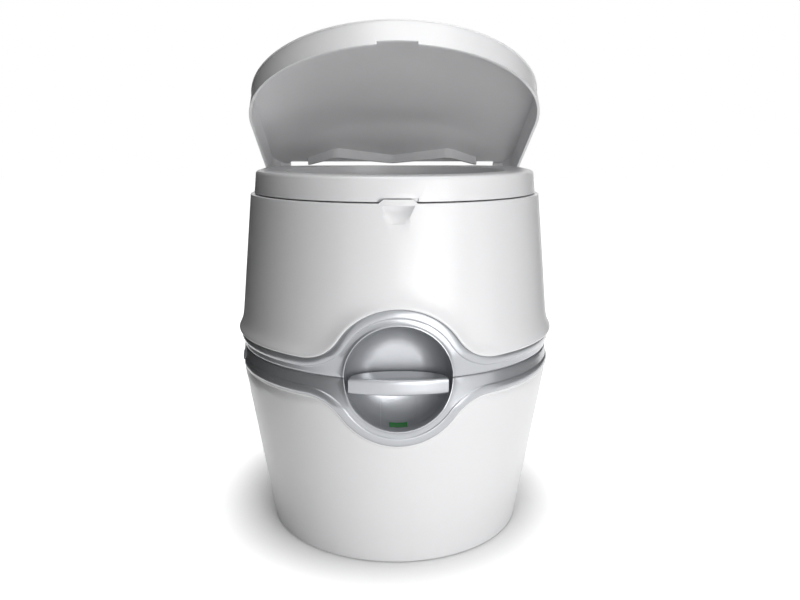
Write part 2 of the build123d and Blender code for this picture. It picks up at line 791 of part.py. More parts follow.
# The lid, built closed in its own frame, which is tipped back about the hinge line
lid_tilt = radians(lid_angle)
lid_plane = Plane(origin=(0, hinge_y, hinge_z), x_dir=(1, 0, 0), z_dir=(0, sin(lid_tilt), cos(lid_tilt)))
lid_centre = plan_y - hinge_y
lid_rim = Section(-lid_rim_drop, 174.0, 190.0, -lid_centre + 10.0)
lid_skirt = Section(12.0, 171.0, 187.0, -lid_centre)
lid_shoulder = Section(19.0, 158.0, 173.0, -lid_centre - 60.0)
lid_crown = Section(27.0, 116.0, 130.0, -lid_centre - 90.0)
lid_peak = Section(31.0, 60.0, 70.0, -lid_centre - 128.0)


def lid_plan(section, inset=0.0, drop=0.0):
    """The lid's plan at one height over the hinge line."""
    half = section.half_width - inset
    back = lid_centre + section.rear - inset
    corner = min(40.0, half / 2) - inset / 2
    with BuildSketch(lid_plane.offset(section.z - drop)) as outline:
        with BuildLine():
            nose = EllipticalCenterArc((0, lid_centre), half, section.front - inset, 180, arc_size=180)
            right = Line(nose @ 1, (half, back - corner))
            back_right = RadiusArc(right @ 1, (half - corner, back), -corner)
            rear = Line(back_right @ 1, (corner - half, back))
            back_left = RadiusArc(rear @ 1, (-half, back - corner), -corner)
            Line(back_left @ 1, nose @ 0)
        make_face()
    return outline.sketch


def lid_form(inset, drop):
    """The lid's outer or inner form, a skirt with a low dome on it."""
    with BuildPart() as form:
        loft([lid_plan(lid_rim, inset, 0.0), lid_plan(lid_skirt, inset, drop)], ruled=True)
        loft([lid_plan(s, inset, drop) for s in (lid_skirt, lid_shoulder, lid_crown, lid_peak)])
    return form.part


lid_outer = lid_form(0.0, 0.0)
lid_inner = lid_form(lid_wall, lid_wall)
lid_side = Plane(origin=lid_plane.origin, x_dir=lid_plane.y_dir, z_dir=(1, 0, 0))
with BuildPart() as lid_fittings:
    with BuildSketch(lid_plane):
        with BuildLine():
            FilletPolyline(
                (-wave_half_width, wave_end_y),
                (-wave_hump_x, wave_hump_y),
                (0, wave_middle_y),
                (wave_hump_x, wave_hump_y),
                (wave_half_width, wave_end_y),
                radius=wave_bend,
            )
        trace(line_width=wave_thickness)
    extrude(amount=lid_peak.z)
    for side in (-1, 1):
        with BuildSketch(lid_side.offset(side * lid_knuckle[0])):
            Circle(knuckle_radius)
            Rectangle(2 * knuckle_radius, 2 * knuckle_radius, align=(Align.MAX, Align.CENTER))
        extrude(amount=side * (lid_knuckle[1] - lid_knuckle[0]))
    add(lid_outer, mode=Mode.INTERSECT)
with BuildPart() as lid:
    add(lid_outer)
    add(lid_inner, mode=Mode.SUBTRACT)
    with BuildSketch(lid_side):
        Rectangle(2 * lid_rim_drop, 3 * lid_rim_drop, align=(Align.MIN, Align.CENTER))
        Circle(lid_back_radius, mode=Mode.SUBTRACT)
    extrude(amount=rib_reach, both=True, mode=Mode.SUBTRACT)
    with BuildSketch(lid_side):
        with Locations((-2 * knuckle_radius, 0)):
            Rectangle(rib_reach, 4 * lid_rim_drop, align=(Align.MIN, Align.CENTER))
    extrude(amount=lid_knuckle[0] - bracket_gap, both=True, mode=Mode.SUBTRACT)
    add(lid_fittings.part)
    with BuildSketch(lid_side):
        Circle(pin_radius + running_gap)
    extrude(amount=lid_knuckle[1], both=True, mode=Mode.SUBTRACT)
    with BuildSketch(lid_plane.offset(-lid_rim_drop)):
        with Locations((0, lid_centre - lid_rim.front)):
            Rectangle(tab_width + 2 * tab_gap, 4 * lid_wall)
    extrude(amount=shoulder.z + tab_height + lid_slot_gap - hinge_z + lid_rim_drop, mode=Mode.SUBTRACT)
pieces["lid"] = lid

# The filler neck with its cap, and the pump
with BuildPart() as filler_neck:
    post(filler_x, deck_knob_y, (shoulder.z - 8 * wall, shoulder.z + filler_height), filler_radius - wall)
    post(filler_x, deck_knob_y, (shoulder.z, shoulder.z + filler_height), filler_radius)
    post(filler_x, deck_knob_y, (shoulder.z - 8 * wall, shoulder.z + filler_height), filler_radius - 2 * wall,
         mode=Mode.SUBTRACT)
pieces["filler_neck"] = filler_neck

with BuildPart() as filler_cap:
    post(filler_x, deck_knob_y, (shoulder.z + 1, shoulder.z + filler_cap_height), filler_radius + running_gap + wall)
    fillet(filler_cap.edges().group_by(Axis.Z)[-1], cap_edge)
    post(filler_x, deck_knob_y, (shoulder.z + 1, shoulder.z + filler_height + 1), filler_radius + running_gap,
         mode=Mode.SUBTRACT)
pieces["filler_cap"] = filler_cap

with BuildPart() as pump_body:
    post(pump_x, deck_knob_y, (shoulder.z - pump_well_depth, shoulder.z), pump_well_radius + wall)
    post(pump_x, deck_knob_y, (shoulder.z, shoulder.z + 2), pump_well_radius + 2 * wall)
    post(pump_x, deck_knob_y, (pump_bottom, shoulder.z - pump_well_depth), pump_bore + wall)
    post(pump_x, deck_knob_y, (shoulder.z - pump_well_depth + wall, shoulder.z + 2), pump_well_radius,
         mode=Mode.SUBTRACT)
    post(pump_x, deck_knob_y, (pump_bottom + wall, shoulder.z - pump_well_depth - wall), pump_bore,
         mode=Mode.SUBTRACT)
    post(pump_x, deck_knob_y, (pump_bottom, shoulder.z), pump_rod_radius + running_gap, mode=Mode.SUBTRACT)
pieces["pump_body"] = pump_body

knob_bottom = shoulder.z + pump_knob_gap
with BuildPart() as pump_knob:
    post(pump_x, deck_knob_y, (knob_bottom, knob_bottom + pump_knob_height), pump_knob_radius)
    fillet(pump_knob.edges().group_by(Axis.Z)[-1], pump_knob_edge)
pieces["pump_knob"] = pump_knob

with BuildPart() as pump_plunger:
    post(pump_x, deck_knob_y, (piston_z, knob_bottom), pump_rod_radius)
    post(pump_x, deck_knob_y, (piston_z, piston_z + piston_height), pump_bore - running_gap)
pieces["pump_plunger"] = pump_plunger

with BuildPart() as pump_spring:
    add(coil_spring(pump_x, deck_knob_y, pump_bottom + wall, piston_z, pump_coil, pump_wire, pump_turns))
pieces["pump_spring"] = pump_spring

with BuildPart() as vent_spring:
    add(coil_spring(vent_x, vent_y, tank_top_upper, vent_top - vent_head, vent_coil, vent_wire, vent_turns))
pieces["vent_spring"] = vent_spring

os.makedirs("parts", exist_ok=True)
for name, piece in pieces.items():
    piece.part.label = name
    export_step(piece.part, f"parts/{name}.step")
    print(name, len(piece.part.solids()), round(piece.part.volume / 1000, 1))
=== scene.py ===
# %% [markdown]
# # A portable toilet, dressed around its imported model
# The model that this lesson starts from already has every piece at its real size and place. What it lacks
# is the look of moulded plastic: soft edges, smooth curved flanks, gloss, fine surface texture and the
# contrast between the white mouldings and the silver-grey belt. The frame comes first, because every
# piece that we make has to ride on one of its bodies.

# %% Load the frame
import json
from collections import namedtuple
from math import atan2, cos, hypot, pi, radians, sin, sqrt

import bmesh
import bpy
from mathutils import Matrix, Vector


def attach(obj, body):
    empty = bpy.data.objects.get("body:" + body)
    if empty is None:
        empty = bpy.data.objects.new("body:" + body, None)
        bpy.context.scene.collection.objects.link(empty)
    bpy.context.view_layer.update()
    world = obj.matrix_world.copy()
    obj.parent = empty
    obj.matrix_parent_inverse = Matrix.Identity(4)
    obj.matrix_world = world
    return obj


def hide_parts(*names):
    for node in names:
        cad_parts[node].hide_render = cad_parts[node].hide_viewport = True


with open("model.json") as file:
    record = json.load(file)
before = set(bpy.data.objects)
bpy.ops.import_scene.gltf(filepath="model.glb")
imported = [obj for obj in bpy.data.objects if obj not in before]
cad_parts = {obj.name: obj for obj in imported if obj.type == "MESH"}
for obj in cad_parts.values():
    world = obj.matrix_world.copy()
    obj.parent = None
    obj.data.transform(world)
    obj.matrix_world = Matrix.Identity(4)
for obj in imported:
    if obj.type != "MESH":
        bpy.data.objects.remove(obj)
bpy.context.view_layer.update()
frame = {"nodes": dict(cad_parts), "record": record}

nodes = frame["nodes"]
MM = 0.001

# %% [markdown]
# ## The camera
# The photograph was taken from the front, a little above the seat. Its level curves (seat, rim, belt and
# base) fix where the camera stood, how far it tips down and how long its lens is, so those numbers are
# written here once as real distances.

# %% Place the camera
camera_place = Vector((-19.3, -1048.1, 469.3)) * MM
camera_pitch = radians(11.189)
camera_yaw = radians(1.435)
sensor_width = 36.0
focal_pixels = 836.6
frame_pixels = 800.0

camera_data = bpy.data.cameras.new("camera")
camera_data.sensor_width = sensor_width
camera_data.lens = focal_pixels / frame_pixels * sensor_width
camera = bpy.data.objects.new("camera", camera_data)
camera.location = camera_place
camera.rotation_euler = (radians(90) - camera_pitch, 0, -camera_yaw)
bpy.context.scene.collection.objects.link(camera)
bpy.context.scene.camera = camera
print("lens", round(camera_data.lens, 2), "mm")

# %% [markdown]
# ## Surface effects that several finishes share
# Moulded plastic is never perfectly even. A spark-eroded mould leaves a fine grain, and cooling leaves a
# slow waviness that bends long reflections. Both are made once, as a node group that puts out a height
# and a roughness, and each finish sets its own depths and base roughness.


# %% Build the moulded surface group
def new_group(name, inputs, outputs):
    """A shader node group with the named sockets, and its input and output nodes."""
    group = bpy.data.node_groups.new(name, "ShaderNodeTree")
    for socket, value in inputs:
        made = group.interface.new_socket(socket, in_out="INPUT", socket_type="NodeSocketFloat")
        made.default_value = value
    for socket in outputs:
        group.interface.new_socket(socket, in_out="OUTPUT", socket_type="NodeSocketFloat")
    return group, group.nodes.new("NodeGroupInput"), group.nodes.new("NodeGroupOutput")


def arithmetic(tree, operation, first, second):
    """A Math node whose operands are sockets or plain numbers."""
    node = tree.nodes.new("ShaderNodeMath")
    node.operation = operation
    for slot, value in enumerate((first, second)):
        if isinstance(value, (int, float)):
            node.inputs[slot].default_value = value
        else:
            tree.links.new(value, node.inputs[slot])
    return node.outputs[0]


def moulded_surface_group():
    """Fine grain and slow waviness, as a height and a roughness."""
    sizes = [("Grain Scale", 900.0), ("Grain Depth", 0.2), ("Wave Scale", 9.0), ("Wave Depth", 0.5),
             ("Base Roughness", 0.25), ("Roughness Spread", 0.08)]
    group, source, result = new_group("moulded_surface", sizes, ["Height", "Roughness"])
    place = group.nodes.new("ShaderNodeTexCoord")
    grain = group.nodes.new("ShaderNodeTexNoise")
    wave = group.nodes.new("ShaderNodeTexNoise")
    for texture, scale in ((grain, "Grain Scale"), (wave, "Wave Scale")):
        group.links.new(place.outputs["Object"], texture.inputs["Vector"])
        group.links.new(source.outputs[scale], texture.inputs["Scale"])
    fine = arithmetic(group, "MULTIPLY", grain.outputs["Fac"], source.outputs["Grain Depth"])
    slow = arithmetic(group, "MULTIPLY", wave.outputs["Fac"], source.outputs["Wave Depth"])
    group.links.new(arithmetic(group, "ADD", fine, slow), result.inputs["Height"])
    centred = arithmetic(group, "SUBTRACT", wave.outputs["Fac"], 0.5)
    spread = arithmetic(group, "MULTIPLY", centred, source.outputs["Roughness Spread"])
    total = arithmetic(group, "ADD", spread, source.outputs["Base Roughness"])
    group.links.new(total, result.inputs["Roughness"])
    return group


moulded_surface = moulded_surface_group()
print("group sockets:", len(moulded_surface.interface.items_tree))

# %% [markdown]
# ## The finishes
# Each material keeps its own Principled BSDF. The colour varies a little over the surface, as pigment
# does, and the moulded surface group drives roughness and bump. The belt is a plastic with fine metal
# flakes, so part of its light is reflected as by metal.

# %% Define a moulded finish
bump_strength = 0.05
bump_distance = 0.0005
coat_roughness = 0.1
pigment_scale = 120.0
mix_factor, mix_first, mix_second, mix_result = 0, 6, 7, 2


def moulded_finish(name, colour, shade, roughness, grain, wave, coat=0.0, metallic=0.0):
    """A plastic, rubber or metal with pigment variation, grain and slow waviness."""
    material = bpy.data.materials.new(name)
    material.use_nodes = True
    tree = material.node_tree
    shader = tree.nodes["Principled BSDF"]
    shader.inputs["Metallic"].default_value = metallic
    shader.inputs["Coat Weight"].default_value = coat
    shader.inputs["Coat Roughness"].default_value = coat_roughness
    surface = tree.nodes.new("ShaderNodeGroup")
    surface.node_tree = moulded_surface
    surface.inputs["Grain Depth"].default_value = grain
    surface.inputs["Wave Depth"].default_value = wave
    surface.inputs["Base Roughness"].default_value = roughness
    bump = tree.nodes.new("ShaderNodeBump")
    bump.inputs["Strength"].default_value = bump_strength
    bump.inputs["Distance"].default_value = bump_distance
    tree.links.new(surface.outputs["Height"], bump.inputs["Height"])
    tree.links.new(bump.outputs["Normal"], shader.inputs["Normal"])
    tree.links.new(surface.outputs["Roughness"], shader.inputs["Roughness"])
    place = tree.nodes.new("ShaderNodeTexCoord")
    cloud = tree.nodes.new("ShaderNodeTexNoise")
    cloud.inputs["Scale"].default_value = pigment_scale
    tree.links.new(place.outputs["Object"], cloud.inputs["Vector"])
    mix = tree.nodes.new("ShaderNodeMix")
    mix.data_type = "RGBA"
    mix.inputs[mix_first].default_value = (*colour, 1.0)
    mix.inputs[mix_second].default_value = (*shade, 1.0)
    tree.links.new(cloud.outputs["Fac"], mix.inputs[mix_factor])
    tree.links.new(mix.outputs[mix_result], shader.inputs["Base Color"])
    return material


white = moulded_finish("white_plastic", (0.80, 0.80, 0.81), (0.785, 0.785, 0.795), 0.34, 0.25, 0.4, coat=0.15)
grey = moulded_finish("belt_plastic", (0.42, 0.43, 0.45), (0.39, 0.40, 0.42), 0.3, 0.6, 0.3,
                      coat=0.4, metallic=0.5)
dark = moulded_finish("dark_plastic", (0.055, 0.058, 0.062), (0.045, 0.047, 0.05), 0.45, 0.8, 0.4)
rubber = moulded_finish("seal_rubber", (0.02, 0.02, 0.021), (0.028, 0.028, 0.029), 0.6, 1.0, 0.3)
green = moulded_finish("indicator_green", (0.03, 0.26, 0.05), (0.02, 0.2, 0.04), 0.2, 0.1, 0.2, coat=0.5)
steel = moulded_finish("plain_steel", (0.55, 0.56, 0.57), (0.5, 0.5, 0.51), 0.3, 0.6, 0.2, metallic=1.0)
finishes = {"white_plastic": white, "belt_plastic": grey, "dark_plastic": dark, "seal_rubber": rubber,
            "indicator_green": green, "steel": steel}
print("finishes:", sorted(finishes))

# %% [markdown]
# ## The body's plan as a formula
# The tank sections are straight-sided forms: half an oval in front, straight sides and a rounded back,
# each a little wider or narrower at its height. One function gives a point on that skin for a station
# round the plan, a height and an outset. The lip, the skin and the belt below are grids of such points.

# %% Define the plan and its stations
Section = namedtuple("Section", "z half_width front rear")
plan_y = -19.5
back_corner = 62.0
foot = Section(1.5, 154.5, 169.0, 214.0)
hip = Section(190.0, 186.0, 203.5, 238.5)
seam = Section(222.0, 183.5, 201.0, 235.5)
crown = Section(246.0, 187.0, 204.5, 238.5)
shoulder = Section(401.0, 173.0, 189.0, 229.0)
level_x = 186.0
arch_zone = 110.0


def section_at(z):
    """Half width, front reach and rear reach of the body at a height."""
    table = (foot, hip, seam, crown, shoulder)
    for low, high in zip(table, table[1:]):
        if z <= high.z or high is shoulder:
            share = (z - low.z) / (high.z - low.z)
            return [low[k] + share * (high[k] - low[k]) for k in (1, 2, 3)]


def skin_point(station, z, outset=0.0):
    """A point of the skin: ("front", x) on the oval, or ("side", "corner" or "rear", side, share)."""
    half, front, rear = (reach + outset for reach in section_at(z))
    corner = back_corner + outset
    if station[0] == "front":
        follow = min(max((abs(station[1]) - arch_zone) / (level_x - arch_zone), 0.0), 1.0)
        x = station[1] * (1 + follow * (half / level_x - 1))
        return x, plan_y - front * sqrt(max(0.0, 1 - (x / half) ** 2)), z
    kind, side, share = station
    straight_end = plan_y + rear - corner
    if kind == "side":
        return side * half, plan_y + share * (straight_end - plan_y), z
    if kind == "corner":
        turn = share * pi / 2
        return side * (half - corner + corner * cos(turn)), straight_end + corner * sin(turn), z
    return side * (half - corner) * share, plan_y + rear, z


# Extra stations where the spout's bay and the latch's channel cut the tank's outline
bay_corner = 0.834
bay_share = 0.42
channel_x = (177.7, 183.6)
front_steps = 240
side_steps = 12
corner_steps = 16
front_x = [level_x * sin(pi * (k / front_steps - 0.5)) for k in range(1, front_steps)]
front_x = sorted(front_x + [side * x for side in (-1, 1) for x in channel_x])
front_stations = [("front", x) for x in front_x]


def side_stations(side):
    """Stations from the end of the oval back along one side to the middle of the rear."""
    row = [("side", side, k / side_steps) for k in range(side_steps + 1)]
    turns = sorted([k / corner_steps for k in range(1, corner_steps + 1)] + [bay_corner])
    row += [("corner", side, share) for share in turns]
    rear = sorted([k / side_steps for k in range(side_steps)] + [bay_share], reverse=True)
    return row + [("rear", side, share) for share in rear]


back_stations = side_stations(1) + side_stations(-1)[-2::-1]
all_stations = front_stations + back_stations
print("stations:", len(all_stations))

# %% [markdown]
# ## The wavy edge of the belt
# Seen from the front, each belt half is bounded by a round arch that runs out into a level line through a
# large blend. The arch, the blend and the level are circles and lines, so the edge has a formula. Growing
# it outwards or inwards gives the rows of the lip above the belt and of the ledge below it.

# %% Define the wave
arch_radius = 74.5
dish_radius = 56.5
Wave = namedtuple("Wave", "side level blend")
upper_wave = Wave(1, 240.0, 50.0)
lower_wave = Wave(-1, 198.5, 46.0)


def blend_centre(wave, grow=0.0):
    """The blend's centre in x and height, its radius, the arch's radius and the level, over the seam."""
    rise = wave.side * (wave.level - seam.z) + grow
    radius = wave.blend - grow
    arch = arch_radius + grow
    centre_z = rise + radius
    return sqrt((arch + radius) ** 2 - centre_z ** 2), centre_z, radius, arch, rise


def edge_height(wave, station, grow=0.0):
    """The edge's height at a station round the plan."""
    centre_x, centre_z, radius, arch, rise = blend_centre(wave, grow)
    reach = abs(station[1]) if station[0] == "front" else level_x
    if reach <= centre_x * arch / (arch + radius):
        over = sqrt(arch ** 2 - reach ** 2)
    elif reach < centre_x:
        over = centre_z - sqrt(radius ** 2 - (centre_x - reach) ** 2)
    else:
        over = rise
    return seam.z + wave.side * over


print("arch top", round(edge_height(upper_wave, ("front", 0.0)), 1), "level", upper_wave.level)


# %% [markdown]
# ## From rows of points to a piece
# One helper joins rows of points into quads. It can leave out columns, where a bay or a channel cuts the
# belt, and it closes the cut ends. The other smooths the shading, keeps real edges crisp, gives the piece
# its finish and lets it ride on its body.


# %% Define the piece maker
copy_weld = 0.00001
final_weld = 0.000005


def grid_faces(mesh, rows, closed=True, left_out=()):
    """Quads between neighbouring rows of points; the left-out columns stay open with capped ends."""
    made = [[mesh.verts.new(Vector(point) * MM) for point in row] for row in rows]
    count = len(rows[0])
    for k in range(count if closed else count - 1):
        after = (k + 1) % count
        if k in left_out:
            continue
        for low, high in zip(made, made[1:]):
            mesh.faces.new((low[k], low[after], high[after], high[k]))
        if after in left_out:
            mesh.faces.new([row[after] for row in made])
        if (k - 1) % count in left_out:
            mesh.faces.new([row[k] for row in reversed(made)])
    return made


def finish_piece(name, mesh, body, slot, replaced, sharp=35.0):
    """Turn a bmesh into a smooth-shaded piece that rides on a body."""
    bmesh.ops.remove_doubles(mesh, verts=mesh.verts, dist=final_weld)
    bmesh.ops.dissolve_degenerate(mesh, edges=mesh.edges, dist=final_weld)
    for face in mesh.faces:
        face.smooth = True
    for edge in mesh.edges:
        edge.smooth = len(edge.link_faces) == 2 and edge.calc_face_angle(pi) < radians(sharp)
    data = bpy.data.meshes.new(name)
    mesh.to_mesh(data)
    mesh.free()
    data.materials.append(finishes[slot])
    piece = bpy.data.objects.new(name, data)
    bpy.context.scene.collection.objects.link(piece)
    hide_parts(*replaced)
    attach(piece, body)


def merged_copy(node):
    """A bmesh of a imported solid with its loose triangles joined."""
    mesh = bmesh.new()
    mesh.from_mesh(nodes[node].data)
    bmesh.ops.remove_doubles(mesh, verts=mesh.verts, dist=copy_weld)
    return mesh


def arc_profile(radius, steps):
    """Pairs (across, up) of a quarter circle from its side to its top."""
    return [(radius * cos(pi / 2 * k / steps), radius * sin(pi / 2 * k / steps)) for k in range(steps + 1)]


def outside_by(x, y, z):
    """Roughly how far a point stands outside the body's skin, in millimetres."""
    half, front, rear = section_at(z)
    if y < plan_y:
        return (hypot(x / half, (y - plan_y) / front) - 1) * min(half, front)
    over_x = abs(x) - (half - back_corner)
    over_y = y - (plan_y + rear - back_corner)
    if over_x > 0 and over_y > 0:
        return hypot(over_x, over_y) - back_corner
    return max(over_x, over_y) - back_corner


print("piece maker ready")

# %% [markdown]
# ## The upper white moulding
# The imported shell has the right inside, deck, scoop and tab, but its lip is a plain step. We copy the
# mesh, take its outer skin away below the scoop, and grow a new skin whose lower edge flares into a thin
# rounded lip over the belt. The deck's long outer edge gets a real round.


# %% Round an outer edge of a copied solid
level_slack = 0.02
outline_slack = 0.3


def round_outline(mesh, height, radius, steps):
    """Round the edges of a solid's outline at one height, and count them."""
    found = []
    for edge in mesh.edges:
        points = [vert.co / MM for vert in edge.verts]
        if all(abs(p.z - height) < level_slack and abs(outside_by(*p)) < outline_slack for p in points):
            found.append(edge)
    bmesh.ops.bevel(mesh, geom=found, offset=radius * MM, segments=steps, profile=0.5, affect="EDGES",
                    clamp_overlap=True)
    return len(found)


# %% Make the upper skin with its flared lip
skin_top = 372.0
skin_depth = 1.2
seam_slack = 0.05
lip_profile = ((-0.6, 0.3), (-0.6, 3.2), (-0.3, 4.2), (0.5, 4.85), (1.5, 5.0), (2.6, 4.75), (3.8, 4.1),
               (5.4, 3.2), (7.5, 2.2), (10.0, 1.35), (13.0, 0.7), (17.0, 0.25), (22.0, 0.0))
deck_round = 1.6
wall_rows = 22
shell = merged_copy("flush_tank_shell")
everything = shell.verts[:] + shell.edges[:] + shell.faces[:]
bmesh.ops.bisect_plane(shell, geom=everything, plane_co=(0, 0, skin_top * MM), plane_no=(0, 0, 1))
gone = []
for face in shell.faces:
    middle = face.calc_center_median() / MM
    if seam.z + seam_slack < middle.z < skin_top and outside_by(*middle) > -skin_depth:
        gone.append(face)
bmesh.ops.delete(shell, geom=gone, context="FACES")
deck_edges = round_outline(shell, shoulder.z, deck_round, 4)
rows = []
for grow, outset in lip_profile:
    rows.append([skin_point(s, edge_height(upper_wave, s, grow), outset) for s in all_stations])
lip_end = lip_profile[-1][0]
for k in range(1, wall_rows + 1):
    row = []
    for s in all_stations:
        start = edge_height(upper_wave, s, lip_end)
        row.append(skin_point(s, start + (skin_top - start) * k / wall_rows))
    rows.append(row)
grid_faces(shell, rows)
finish_piece("flush_tank_shell_surface", shell, "flush_tank", "white_plastic", ["flush_tank_shell"])
print("skin faces replaced:", len(gone), "deck edges rounded:", deck_edges)

# %% [markdown]
# The tub keeps its packed skin. Its foot edge gets a round, and a fine ledge is added on it right under the
# belt, which catches the light as a thin bright line. The ledge leaves out the spout's bay and the latch's
# channel, and so does the lower belt half.


# %% Find the columns that the bay and the channel cut, and finish the tub
bay_left = -140.0
bay_right = 52.0
bay_front = 149.5
channel_front = -79.3
channel_back = -51.7


def is_cut(first, second):
    """Whether the bay or the channel lies between two neighbouring stations."""
    a, b = (skin_point(s, hip.z) for s in (first, second))
    x, y = (a[0] + b[0]) / 2, (a[1] + b[1]) / 2
    in_bay = bay_left < x < bay_right and y > bay_front
    in_channel = x < 0 and channel_front < y < channel_back
    return in_bay or in_channel


def cut_columns(stations):
    """The indices of the columns that are cut."""
    count = len(stations)
    return {k for k in range(count) if is_cut(stations[k], stations[(k + 1) % count])}


foot_round = 4.0
tub = merged_copy("waste_tank_tub")
foot_edges = round_outline(tub, foot.z, foot_round, 5)
ledge_profile = ((3.2, -0.2), (2.6, 0.1), (1.9, 0.8), (1.1, 1.2), (0.4, 1.3), (-0.3, 1.2), (-0.6, 0.0))
rows = []
for grow, outset in ledge_profile:
    rows.append([skin_point(s, edge_height(lower_wave, s, grow), outset) for s in all_stations])
grid_faces(tub, rows, left_out=cut_columns(all_stations))
finish_piece("waste_tank_tub_surface", tub, "waste_tank", "white_plastic", ["waste_tank_tub"])
print("foot edges rounded:", foot_edges, "columns cut:", len(cut_columns(all_stations)))

# %% [markdown]
# ## The silver-grey belt
# Each half of the belt is one moulding: a raised outer border that follows the wave, a lower field behind
# it, a fine bead round the recess, and half of the recess itself. The recess is kept from the packed
# solid, since the valve's slot and the panel's gap are cut in it. The rest is a grid whose columns start
# square to the wave and end at the bead or at the seam.

# %% Describe one column of the belt
# Pairs of a distance in millimetres and an outset: from the wave's edge, then back from the bead or seam
border_steps = ((0.0, 0.2), (0.05, 1.2), (0.5, 2.1), (1.4, 2.7), (3.0, 3.1), (5.5, 3.3), (8.6, 3.25),
                (9.4, 3.0), (9.9, 2.4), (10.3, 1.95), (11.2, 1.9))
field_outset = 1.9
rim_steps = ((2.4, 2.2), (1.6, 2.9), (0.8, 3.1), (0.2, 2.9), (0.0, 2.5), (-0.4, 0.5))
seam_steps = ((2.0, 1.9), (1.0, 1.8), (0.5, 1.4), (0.2, 0.9), (0.0, 0.2), (0.0, -2.0))
seam_gap = 0.25
rim_turns = 48
run_out = 16
column_gap = 1.0


def belt_column(wave, outer, normal, inner, rim, station=None):
    """Points from the wave's edge, square to it over the border, then on to the bead or the seam."""
    flat = [(outer[0] + normal[0] * d, outer[1] + normal[1] * d, out) for d, out in border_steps]
    start_x, start_z = flat[-1][:2]
    length = hypot(inner[0] - start_x, inner[1] - start_z)
    field = ((length / 2, field_outset),)
    for back, outset in field + (rim_steps if rim else seam_steps):
        share = 1 - back / length
        flat.append((start_x + share * (inner[0] - start_x), start_z + share * (inner[1] - start_z), outset))
    column = []
    for x, over, outset in flat:
        at = station or ("front", x)
        column.append(skin_point(at, seam.z + wave.side * max(over, seam_gap), outset))
    return column


def right_half(wave):
    """The columns over the recess and along the blend, from the middle to where the level starts."""
    centre_x, centre_z, radius, arch, rise = blend_centre(wave)
    meet = atan2(centre_z, centre_x)

    def on_blend(share):
        turn = meet + share * (pi / 2 - meet)
        return (centre_x - radius * cos(turn), centre_z - radius * sin(turn)), (-cos(turn), -sin(turn))

    columns = []
    for k in range(rim_turns + 1):
        turn = pi / 2 * (1 - k / rim_turns)
        ray = (cos(turn), sin(turn))
        if turn >= meet:
            outer, normal = (arch * ray[0], arch * ray[1]), (-ray[0], -ray[1])
        else:
            outer, normal = on_blend(0.5 * (1 - turn / meet))
        columns.append(belt_column(wave, outer, normal, (dish_radius * ray[0], dish_radius * ray[1]), True))
    for k in range(1, run_out + 1):
        outer, normal = on_blend(0.5 + 0.5 * k / run_out)
        inner = (dish_radius + (centre_x - dish_radius) * k / run_out, seam_gap)
        columns.append(belt_column(wave, outer, normal, inner, False))
    return columns, centre_x, rise


print("steps across the belt:", len(border_steps) + len(rim_steps) + 1)


# %% Make both belt halves
liner = 2.6
skin_slack = 0.2
plane_slack = 0.02


def in_recess(point):
    """Whether a point of a packed belt half belongs to the recess or to the liner's face on the seam."""
    radius = hypot(point.x, point.z - seam.z)
    on_seam = abs(point.z - seam.z) < plane_slack
    return radius < dish_radius + skin_slack or (radius < dish_radius + liner and on_seam)


def belt_half(wave, node, body):
    """One belt half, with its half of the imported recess."""
    mesh = merged_copy(node)
    gone = [face for face in mesh.faces if not in_recess(face.calc_center_median() / MM)]
    bmesh.ops.delete(mesh, geom=gone, context="FACES")
    columns, level_start, rise = right_half(wave)
    places = [("front", 0.0)] * len(columns)
    for station in front_stations:
        if station[1] > level_start + column_gap:
            x = station[1]
            columns.append(belt_column(wave, (x, rise), (0, -1), (x, seam_gap), False, station))
            places.append(station)
    loop = [[(-x, y, z) for x, y, z in column] for column in reversed(columns)] + columns[1:]
    marks = [("front", -s[1]) for s in reversed(places)] + places[1:]
    for station in back_stations:
        loop.append(belt_column(wave, (0, rise), (0, -1), (0, seam_gap), False, station))
        marks.append(station)
    left_out = cut_columns(marks) if wave.side < 0 else ()
    rows = [list(row) for row in zip(*loop)]
    grid_faces(mesh, rows if wave.side < 0 else rows[::-1], left_out=left_out)
    finish_piece(node + "_surface", mesh, body, "belt_plastic", [node], sharp=50.0)
    print(node, "columns", len(loop), "cut", len(left_out))


belt_half(upper_wave, "upper_belt_trim", "flush_tank")
belt_half(lower_wave, "lower_belt_trim", "waste_tank")

# %% [markdown]
# ## The valve's handle
# The handle is a thick half-moon that spans the recess. Its front face is a shallow arc and all of its long
# edges are rounded, so it is a stack of outlines, each drawn in a little near the top and bottom.

# %% Make the handle
handle_half = 52.3
handle_top = 221.4
handle_height = 17.0
belt_proud = 2.5
dish_depth = 43.0
dish_mouth = plan_y - seam.front - belt_proud
handle_front = dish_mouth + 1.5
handle_back = dish_mouth + dish_depth - 4.0
handle_steps = 48
end_setback = 8.0
end_depth = 5.0
handle_edge = 2.6
handle_rings = 5


def handle_outline(inset):
    """Points round the handle, seen from above, counter-clockwise from its left front corner."""
    half = handle_half - inset
    side_y = handle_front + end_setback
    points = []
    for k in range(handle_steps + 1):
        x = half * (2 * k / handle_steps - 1)
        points.append((x, side_y + inset - end_setback * (1 - (x / half) ** 2)))
    back_y = side_y + end_depth
    points.append((half, back_y - inset))
    for k in range(1, handle_steps):
        x = half * (1 - 2 * k / handle_steps)
        points.append((x, back_y - inset + (handle_back - back_y) * sqrt(1 - (x / half) ** 2)))
    points.append((-half, back_y - inset))
    return points


